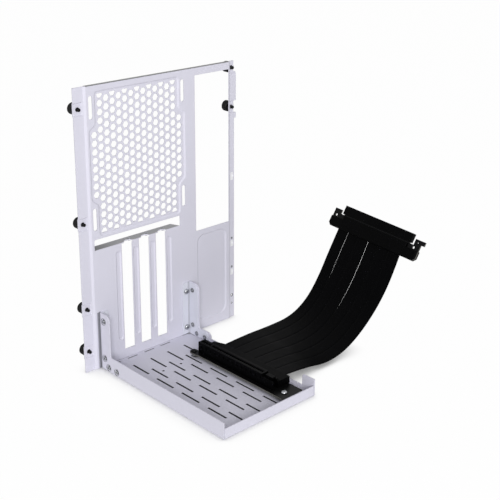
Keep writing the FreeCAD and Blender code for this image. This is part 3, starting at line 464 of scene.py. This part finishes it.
def solids_of(node):
    """Lowest and highest corner of each separate solid in a CAD node, from the lowest solid up."""
    shape = bmesh.new()
    shape.from_mesh(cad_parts[node].data)
    shape.transform(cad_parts[node].matrix_world)
    bmesh.ops.remove_doubles(shape, verts=shape.verts, dist=1e-6)
    waiting = set(shape.verts)
    boxes = []
    while waiting:
        group = [waiting.pop()]
        for vert in group:
            for edge in vert.link_edges:
                other = edge.other_vert(vert)
                if other in waiting:
                    waiting.remove(other)
                    group.append(other)
        spots = [vert.co for vert in group]
        low = Vector(min(spot[i] for spot in spots) for i in range(3))
        high = Vector(max(spot[i] for spot in spots) for i in range(3))
        boxes.append((low, high))
    shape.free()
    return sorted(boxes, key=lambda box: (round(box[0].z, 5), round(box[0].y, 5), round(box[0].x, 5)))


def ring_of(shape, spots):
    return [shape.verts.new(spot) for spot in spots]


def circle(radius, height, count):
    """Points of a level circle about Z."""
    return [(radius * math.cos(math.tau * k / count), radius * math.sin(math.tau * k / count), height)
            for k in range(count)]


def bridge(shape, first, second):
    """Quads between two closed rings of the same length."""
    count = len(first)
    for i in range(count):
        j = (i + 1) % count
        shape.faces.new((first[i], first[j], second[j], second[i]))


def skin(shape, rings):
    """Close a row of rings: quads from each to the next, and a face at both ends."""
    for first, second in zip(rings, rings[1:]):
        bridge(shape, first, second)
    shape.faces.new(rings[-1])
    shape.faces.new(reversed(rings[0]))


def loop_round(shape, circles):
    """A body with a hole: quads from each circle to the next, and from the last to the first."""
    rings = [ring_of(shape, spots) for spots in circles]
    for first, second in zip(rings, rings[1:] + rings[:1]):
        bridge(shape, first, second)


def lathe(shape, profile, segments, swell=None):
    """Revolve (radius, height) points about Z; swell changes a radius by angle and height."""
    rings = []
    for radius, height in profile:
        spots = []
        for k in range(segments):
            angle = math.tau * k / segments
            reach = radius + (swell(angle, radius, height) if swell else 0.0)
            spots.append((reach * math.cos(angle), reach * math.sin(angle), height))
        rings.append(ring_of(shape, spots))
    skin(shape, rings)


def thread(shape, radius, pitch, low, high, taper):
    """Threaded rod about Z between two heights, its crests at radius, with a tapered low end."""
    depth = 0.55 * pitch
    steps = max(8, int((high - low) / pitch * 8))
    profile = [(radius, low + (high - low) * k / steps) for k in range(steps + 1)]

    def groove(angle, reach, height):
        turn = (height / pitch - angle / math.tau) % 1.0
        cut = depth * abs(2 * turn - 1)
        return -max(cut, taper - (height - low))

    lathe(shape, profile, 32, groove)


def cross_cutter(width, length, depth):
    """Tapered cross for a screwdriver's recess, its top a little above Z = 0."""
    shape = bmesh.new()
    half, reach = width / 2, length / 2
    outline = [(half, half), (half, reach), (-half, reach), (-half, half), (-reach, half),
               (-reach, -half), (-half, -half), (-half, -reach), (half, -reach), (half, -half),
               (reach, -half), (reach, half)]
    top = ring_of(shape, [(x, y, depth / 2) for x, y in outline])
    bottom = ring_of(shape, [(x * 0.45, y * 0.45, -depth) for x, y in outline])
    skin(shape, [bottom, top])
    bmesh.ops.recalc_face_normals(shape, faces=shape.faces)
    mesh = bpy.data.meshes.new("recess")
    shape.to_mesh(mesh)
    shape.free()
    return bpy.data.objects.new("recess", mesh)


def carved(shape, cutter, height):
    """The shape with the cutter taken out of its top, as a mesh."""
    bmesh.ops.recalc_face_normals(shape, faces=shape.faces)
    mesh = bpy.data.meshes.new("blank")
    shape.to_mesh(mesh)
    shape.free()
    blank = bpy.data.objects.new("blank", mesh)
    collection = bpy.context.scene.collection
    collection.objects.link(blank)
    collection.objects.link(cutter)
    cutter.matrix_world = Matrix.Translation((0, 0, height))
    cut = blank.modifiers.new("recess", "BOOLEAN")
    cut.operation = "DIFFERENCE"
    cut.object = cutter
    cut.solver = "EXACT"
    depsgraph = bpy.context.evaluated_depsgraph_get()
    result = bpy.data.meshes.new_from_object(blank.evaluated_get(depsgraph))
    for scrap in (blank, cutter):
        bpy.data.objects.remove(scrap)
    return result


def dome(radius, height, crown, steps=7):
    """Profile of a rounded head: an upright rim, then an arc to its middle."""
    profile = [(radius, 0.0)]
    for k in range(steps):
        angle = math.pi / 2 * k / (steps - 1)
        profile.append((radius * (1 - crown) + radius * crown * math.cos(angle),
                        height - height * 0.75 * (1 - math.sin(angle))))
    return profile


# Screws, each about Z with its head up and the seat of the head at Z = 0

def thumbscrew_mesh(material):
    """Knob with straight knurling, collar, neck and thread."""
    knob, collar, neck, stud = 5.4 * MM, 4.4 * MM, 1.35 * MM, 1.6 * MM
    collar_top, knob_top, thread_top, tip = 0.9 * MM, 7.5 * MM, -2.2 * MM, -4.2 * MM
    hollow = knob_top - 0.3 * MM        # bottom of the round hollow that the recess is cut in
    knurl_low, knurl_high = 1.5 * MM, 6.9 * MM
    ridges, ridge_depth = 40, 0.30 * MM

    def knurl(angle, radius, height):
        if radius < knob - 0.1 * MM or not knurl_low < height < knurl_high:
            return 0.0
        return -ridge_depth * (0.5 + 0.5 * math.cos(angle * ridges)) ** 0.7

    shape = bmesh.new()
    profile = [(neck, thread_top - 0.2 * MM), (neck, 0.0), (collar, 0.0), (collar, collar_top),
               (knob - 0.5 * MM, collar_top), (knob - 0.02 * MM, 1.4 * MM), (knob, 1.51 * MM),
               (knob, 4.2 * MM), (knob, 6.89 * MM), (knob - 0.02 * MM, 7.0 * MM),
               (knob - 0.5 * MM, knob_top), (knob - 1.6 * MM, knob_top),
               (knob - 1.9 * MM, hollow), (0.2 * MM, hollow)]
    lathe(shape, profile, 4 * ridges, knurl)
    thread(shape, stud, 0.79 * MM, tip, thread_top, taper=0.35 * MM)
    return finished(carved(shape, cross_cutter(1.0 * MM, 4.4 * MM, 1.9 * MM), hollow), material)


def pan_screw_mesh(material, head, height, shank):
    """Domed head with a cross recess on a threaded shank."""
    shape = bmesh.new()
    profile = dome(head, height, 0.55)
    profile[-1] = (0.1 * MM, height)
    lathe(shape, profile, 48)
    thread(shape, 1.5 * MM, 0.5 * MM, -shank, 0.05 * MM, taper=0.3 * MM)
    return finished(carved(shape, cross_cutter(0.75 * MM, 3.1 * MM, 1.3 * MM), height), material)


def sunk_screw_mesh(material):
    """Head with a cross recess, sunk in a rimmed seat, and a clinched nut round its far end."""
    shape = bmesh.new()
    head = [(1.5, -0.8), (3.45, 0.0), (3.45, 0.30), (3.35, 0.38), (3.25, 0.38), (3.10, -0.30),
            (2.05, -0.45), (1.95, 0.30), (1.70, 0.56), (0.9, 0.68), (0.1, 0.69)]
    nut = [(1.62, -1.9), (1.62, -2.1), (1.85, -2.45), (2.25, -2.50), (2.45, -2.35), (2.45, -1.9)]
    lathe(shape, [(radius * MM, height * MM) for radius, height in head], 48)
    thread(shape, 1.5 * MM, 0.5 * MM, -2.6 * MM, -0.78 * MM, taper=0.3 * MM)
    loop_round(shape, [circle(radius * MM, height * MM, 36) for radius, height in nut])
    return finished(carved(shape, cross_cutter(0.7 * MM, 2.9 * MM, 1.1 * MM), 0.64 * MM), material)


def facing(direction):
    """Turn of a screw so that its head looks in a direction."""
    return Vector(direction).to_track_quat("Z", "Y").to_matrix().to_4x4()


def seat_of(box, direction, head):
    """Seat of a screw in its solid's box: its head's height inside the end that it looks out of."""
    low, high = box
    seat = [(a + b) / 2 for a, b in zip(low, high)]
    axis = [abs(share) for share in direction].index(1)
    end = high[axis] if direction[axis] > 0 else low[axis]
    seat[axis] = end - direction[axis] * head
    return Vector(seat)


def screw_set(node, mesh, direction, head, solids=slice(None), mark="detailed", slot="nickel_screws"):
    """One piece with a copy of the screw at a node's solids, each turned differently."""
    shape = bmesh.new()
    for index, box in enumerate(solids_of(node)[solids]):
        screw = mesh.copy()
        turn = Matrix.Rotation(0.7 + 1.9 * index, 4, "Z")
        screw.transform(Matrix.Translation(seat_of(box, direction, head)) @ facing(direction) @ turn)
        shape.from_mesh(screw)
        bpy.data.meshes.remove(screw)
    return new_piece("%s_%s" % (node, mark), shape, mesh.materials[0], slot, node, sharp=30)


def fit_screws(black, silver):
    """Thumbscrews, screws of the ears and flanges, and the riser's screws."""
    left, right, front, rear, up = (-1, 0, 0), (1, 0, 0), (0, -1, 0), (0, 1, 0), (0, 0, 1)
    thumb = thumbscrew_mesh(black)
    for node in sorted(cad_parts):
        if node.startswith("thumbscrew"):
            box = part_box(node)
            seat = Matrix.Translation(seat_of(box, rear, KNOB_HEIGHT))
            turn = Matrix.Rotation(box[0].z * 40, 4, "Z")
            place_piece(node + "_knurled", thumb, seat @ facing(rear) @ turn, "black_metal", node)
    sunk = sunk_screw_mesh(silver)
    screw_set("left_side_screws", sunk, left, SUNK_RIM)
    screw_set("right_side_screws", sunk, right, SUNK_RIM)
    pan = pan_screw_mesh(silver, head=2.75 * MM, height=PAN_HEAD, shank=2.6 * MM)
    screw_set("left_panel_screws", pan, front, PAN_HEAD)
    screw_set("right_panel_screws", pan, front, PAN_HEAD)
    # The rear riser screw gets the black finish instead of nickel, as painted shade beside the board.
    for place, mark, material, slot in ((0, "front", silver, "nickel_screws"),
                                        (1, "rear", black, "black_metal")):
        riser = pan_screw_mesh(material, head=2.8 * MM, height=RISER_HEAD, shank=3.6 * MM)
        screw_set("riser_screws", riser, up, RISER_HEAD, slice(place, place + 1), mark, slot)


def tapped_collars(material):
    """Collars drawn down from the ledge's three screw holes."""
    shape = bmesh.new()
    wall = [(1.55, 0.0), (2.2, -0.9), (2.2, -1.7), (2.05, -1.9), (1.35, -1.9), (1.35, -0.2)]
    for hole in LEDGE_HOLES:
        middle = at(hole, LEDGE_HOLES_BACK, LEDGE_TOP - 0.1)
        loop_round(shape, [[middle + Vector(spot) * MM for spot in circle(radius, height, 32)]
                           for radius, height in wall])
    bmesh.ops.recalc_face_normals(shape, faces=shape.faces)
    return new_piece("ledge_collars", shape, material, "nickel_screws")


# Socket

def spring_contacts(material):
    """Two rows of bent spring contacts in each section of the slot."""
    low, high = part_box("slot_contacts")
    middle = (low[0] + high[0]) / 2
    floor = low[2]
    thickness, width, pitch = 0.18 * MM, 0.55 * MM, 1.0 * MM
    line = [(1.55, 0.0), (1.50, 2.4), (1.30, 3.8), (0.80, 5.0), (0.62, 5.5), (0.72, 6.0), (0.95, 6.6)]
    shape = bmesh.new()
    for box_low, box_high in solids_of("slot_contacts"):
        side = 1 if box_low.x > middle else -1
        count = round((box_high.y - box_low.y) / pitch)
        first = (box_low.y + box_high.y - (count - 1) * pitch) / 2
        for k in range(count):
            y = first + k * pitch
            rings = []
            for out, up in line:
                near = middle + side * out * MM
                far = near + side * thickness
                z = floor + up * MM
                rings.append(ring_of(shape, [(near, y - width / 2, z), (far, y - width / 2, z),
                                             (far, y + width / 2, z), (near, y + width / 2, z)]))
            skin(shape, rings)
    bmesh.ops.recalc_face_normals(shape, faces=shape.faces)
    return new_piece("spring_contacts", shape, material, "contact_metal", "slot_contacts", sharp=50)


# Cable

def plug_axes():
    """Directions of the plug: along (away from the cable), across (to the rear) and out."""
    slope = Vector((math.cos(PLUG_RISE), 0.0, math.sin(PLUG_RISE)))
    rear = Vector((0.0, 1.0, 0.0))
    along = slope * math.cos(PLUG_TURN) - rear * math.sin(PLUG_TURN)
    across = rear * math.cos(PLUG_TURN) + slope * math.sin(PLUG_TURN)
    return along, across, along.cross(across)


PLUG_ALONG, PLUG_ACROSS, PLUG_OUT = plug_axes()


def edge_line(side, route):
    """Line along one edge of the whole cable, 0 for the rear edge and 1 for the front one."""
    row = -CABLE_REAR - side * STRIPS * STRIP_PITCH
    return smooth_line("cable_edge", [PANEL + Vector((x, row, z)) for x, z in route])


def strip_route(k):
    """A strip's route: a blend of the cable's two edges, moved aside where slits open."""
    share = (k + 0.5) / STRIPS
    row = -CABLE_REAR - (k + 0.5) * STRIP_PITCH
    route = []
    for i, (rear, front) in enumerate(zip(REAR_ROUTE, FRONT_ROUTE)):
        behind = sum(opening[i] for opening in SLIT_OPENINGS[:k])
        total = sum(opening[i] for opening in SLIT_OPENINGS)
        aside = (total / 2 - behind) * MM
        route.append(PANEL + Vector(((1 - share) * rear[0] + share * front[0], row + aside,
                                     (1 - share) * rear[1] + share * front[1])))
    return route


def smooth_line(name, route):
    """Points along the NURBS spline that the route's points control."""
    curve = bpy.data.curves.new(name, "CURVE")
    curve.dimensions = "3D"
    curve.resolution_u = STRIP_SAMPLES
    spline = curve.splines.new("NURBS")
    spline.points.add(len(route) - 1)
    for point, spot in zip(spline.points, route):
        point.co = (*spot, 1.0)
    spline.order_u = 3
    spline.use_endpoint_u = True
    line = bpy.data.objects.new(name, curve)
    bpy.context.scene.collection.objects.link(line)
    depsgraph = bpy.context.evaluated_depsgraph_get()
    mesh = bpy.data.meshes.new_from_object(line.evaluated_get(depsgraph))
    spots = [vert.co.copy() for vert in mesh.vertices]
    bpy.data.objects.remove(line)
    bpy.data.meshes.remove(mesh)
    return spots


def strip_section():
    """Flat section with rounded edges: places across and out from its middle."""
    half, round_off = STRIP_WIDTH / 2, STRIP_THICKNESS / 2
    flat = half - round_off
    steps = 6
    spots = []
    for side in (1, -1):
        spots += [(side * flat * (2 * j / steps - 1), -side * round_off) for j in range(1, steps)]
        for j in range(steps + 1):
            angle = -math.pi / 2 + math.pi * j / steps
            spots.append((side * (flat + round_off * math.cos(angle)), side * round_off * math.sin(angle)))
    return spots


def cable_strip(k, material, tilts):
    """One strip, swept along its spline, tilted with the cable and cut off along the plug's mouth."""
    mouth = PLUG_MIDDLE + PLUG_ALONG * PLUG_MOUTH
    line = smooth_line("strip_line_%d" % (k + 1), strip_route(k))
    section = strip_section()
    steps = [line[1] - line[0]] + [b - a for a, b in zip(line[:-2], line[2:])] + [line[-1] - line[-2]]
    shape = bmesh.new()
    rings, travelled, lengths = [], 0.0, []
    for index, (spot, step, side) in enumerate(zip(line, steps, tilts)):
        way = step.normalized()
        out = way.cross(side).normalized()
        spots = [spot + side * u + out * v for u, v in section]
        if index == 0:
            rings.append(ring_of(shape, [place - way * STRIP_OVERLAP for place in spots]))
            lengths.append(-STRIP_OVERLAP)
        else:
            travelled += (spot - line[index - 1]).length
        ahead = [(mouth - place).dot(PLUG_ALONG) / way.dot(PLUG_ALONG) for place in spots]
        last = index == len(line) - 1 or min(ahead) < STRIP_OVERLAP
        if last:
            spots = [place + way * (reach + STRIP_OVERLAP) for place, reach in zip(spots, ahead)]
        rings.append(ring_of(shape, spots))
        lengths.append(travelled)
        if last:
            break
    skin(shape, rings)
    across_at = {vert: u for ring in rings for vert, (u, v) in zip(ring, section)}
    along_at = {vert: length for ring, length in zip(rings, lengths) for vert in ring}
    layer = shape.loops.layers.uv.new("strip")
    for face in shape.faces:
        for loop in face.loops:
            loop[layer].uv = (across_at[loop.vert], along_at[loop.vert])
    bmesh.ops.recalc_face_normals(shape, faces=shape.faces)
    piece = new_piece("cable_strip_%d_film" % (k + 1), shape, material, "cable",
                      "cable_strip_%d" % (k + 1), sharp=60)
    return piece, line[:index + 1]


def run_cable():
    """The six strips, which all end in the plug."""
    material = cable_film()
    tilts = [(rear - front) / (rear.y - front.y)
             for rear, front in zip(edge_line(0, REAR_ROUTE), edge_line(1, FRONT_ROUTE))]
    for k in range(STRIPS):
        piece, line = cable_strip(k, material, tilts)
        length = sum((b - a).length for a, b in zip(line, line[1:]))


# Stage

def floor_finish():
    """Pale floor that shows white to the camera; near the part its glow fades into painted contact shade,
    where the lamp's shadow shows, and under the tray it has painted shadow.
    """
    finish = Finish("pale_floor", {"Roughness": 0.9, "Specular IOR Level": 0.0})
    x, y = finish.parts(finish.place())[:2]
    low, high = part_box("tray")
    middle = ((low[0] + high[0]) / 2, (low[1] + high[1]) / 2)
    reach = ((high[0] - low[0]) / 2 - FLOOR_INSET, (high[1] - low[1]) / 2 - FLOOR_INSET)
    # Painted shadow under the tray.
    under_tray_shadow = ((x - middle[0]).size() < reach[0]) * ((y - middle[1]).size() < reach[1])
    finish.set("Base Color", finish.blend(under_tray_shadow, (0.95, 0.95, 0.95), (0.05, 0.05, 0.055)))
    glow = finish.add("ShaderNodeEmission", None, {"Color": (1.0, 1.0, 1.0), "Strength": 1.0})
    # The glow fades within reach of the part: painted contact shade.
    soft = finish.openness(0.024).fade(0.0, 0.92)
    close = finish.openness(0.007).fade(0.30, 0.95)
    share = finish.seen() * soft * close * 0.98 * (1 - under_tray_shadow)
    mixed = finish.add("ShaderNodeMixShader", None,
                       {0: share, 1: Value(finish, finish.shader.outputs[0]), 2: glow})
    finish.feed(finish.tree.nodes["Material Output"].inputs["Surface"], mixed)
    return finish.material


def lay_floor():
    """A round floor just below the part."""
    shape = bmesh.new()
    bmesh.ops.create_circle(shape, cap_ends=True, radius=FLOOR_RADIUS, segments=96)
    mesh = bpy.data.meshes.new("floor")
    shape.to_mesh(mesh)
    shape.free()
    mesh.materials.append(floor_finish())
    floor = bpy.data.objects.new("floor", mesh)
    floor.location = (0.0, 0.0, -FLOOR_DROP)
    bpy.context.scene.collection.objects.link(floor)


def light_world():
    """White to the camera and in reflections, plain soft light for everything else."""
    world = bpy.data.worlds.new("studio")
    bpy.context.scene.world = world
    nodes = Nodes(world)
    white = (1.0, 1.0, 1.0)
    light = nodes.tree.nodes["Background"]
    nodes.feed(light.inputs["Color"], white)
    nodes.feed(light.inputs["Strength"], WORLD_LIGHT)
    backdrop = nodes.add("ShaderNodeBackground", None, {"Color": white, "Strength": 1.0})
    mixed = nodes.add("ShaderNodeMixShader", None,
                      {0: nodes.seen(), 1: Value(nodes, light.outputs[0]), 2: backdrop})
    nodes.feed(nodes.tree.nodes["World Output"].inputs["Surface"], mixed)


def hang_lamp():
    """One large soft lamp behind the camera."""
    lamp = bpy.data.lights.new("key", "AREA")
    lamp.shape = "DISK"
    lamp.size = KEY_SIZE
    lamp.energy = KEY_POWER
    holder = bpy.data.objects.new("key", lamp)
    turn = (KEY_TARGET - KEY_PLACE).to_track_quat("-Z", "Y").to_matrix().to_4x4()
    holder.matrix_world = Matrix.Translation(KEY_PLACE) @ turn
    bpy.context.scene.collection.objects.link(holder)


def aim_camera():
    """Camera at the photograph's viewpoint."""
    yaw, pitch, roll = (math.radians(v) for v in (CAMERA_YAW, CAMERA_PITCH, CAMERA_ROLL))
    ahead = Vector((math.sin(yaw) * math.cos(pitch), math.cos(yaw) * math.cos(pitch), -math.sin(pitch)))
    level = Vector((math.cos(yaw), -math.sin(yaw), 0.0))
    upright = level.cross(ahead)
    right = level * math.cos(roll) + upright * math.sin(roll)
    up = upright * math.cos(roll) - level * math.sin(roll)
    data = bpy.data.cameras.new("camera")
    data.lens = CAMERA_LENS
    data.sensor_width = CAMERA_SENSOR
    data.shift_y = CAMERA_RISE
    camera = bpy.data.objects.new("camera", data)
    turn = Matrix((right, up, -ahead)).transposed().to_4x4()
    camera.matrix_world = Matrix.Translation(CAMERA_PLACE) @ turn
    bpy.context.scene.collection.objects.link(camera)
    bpy.context.scene.camera = camera


# Carried-over CAD pieces

def coat(material, *nodes):
    """Give CAD nodes a finish."""
    for node in nodes:
        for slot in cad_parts[node].material_slots:
            slot.material = material


def main():
    bpy.context.scene.view_settings.view_transform = "Standard"
    aim_camera()
    run_cable()
    lay_floor()
    light_world()
    hang_lamp()
    black, silver = black_oxide(), nickel()
    fit_screws(black, silver)
    spring_contacts(gold())
    coat(panel_coat(), "back_panel")
    coat(tray_coat(), "tray")
    coat(bracket_coat(), "left_bracket", "right_bracket")
    tapped_collars(silver)
    coat(silver, "riser_standoffs")
    coat(circuit_board("riser_board_mask", (0, 0, 1)), "riser_board")
    coat(circuit_board("plug_board_mask", PLUG_OUT), "plug_board")
    coat(moulded_black("socket_plastic_black", grain=0.0008, depth=0.00001, roughness=0.34),
         "slot_housing", "slot_latch", "plug_cap")
    coat(moulded_black("cover_plastic_black", grain=0.0005, depth=0.00003, roughness=0.48),
         "riser_cover", "plug_cover_front", "plug_cover_back")
    coat(gold_fingers(), "plug_contacts")


main()
